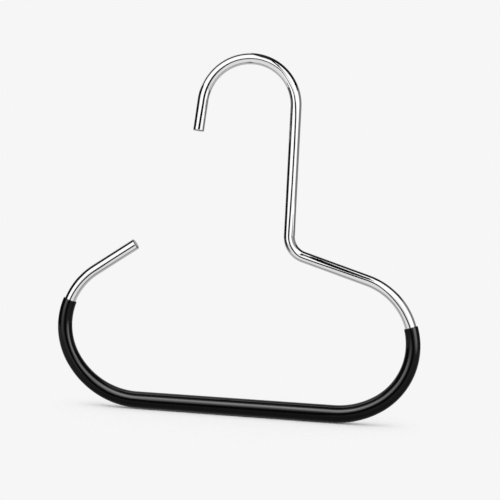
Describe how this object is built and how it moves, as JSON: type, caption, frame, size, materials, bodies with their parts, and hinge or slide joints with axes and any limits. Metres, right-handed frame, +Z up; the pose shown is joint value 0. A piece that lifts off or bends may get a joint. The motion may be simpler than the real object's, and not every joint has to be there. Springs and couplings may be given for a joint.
{
  "type": "open-ended wire hanger",
  "caption": "Open-ended chromed wire hanger: a hook for a closet rail, a straight stem and a rounded lower loop with a black dipped coat, left open at one arm so scarves and belts slip on.",
  "frame": {"origin": "centre of the hook's curve, where the middle of a closet rail lies", "axes": "+Z up along the stem, +X from the hook's tip towards the stem, +Y away from the viewer along the rail; the wire lies in the XZ plane"},
  "size_m": [0.1614, 0.0076, 0.1592],
  "materials": {
    "chromed_wire": "bright chrome plating on drawn steel wire",
    "black_coat": "glossy black dipped vinyl"
  },
  "bodies": {
    "root": {"hanger_wire": "chromed_wire", "grip_sleeve": "black_coat"}
  },
  "joints": []
}
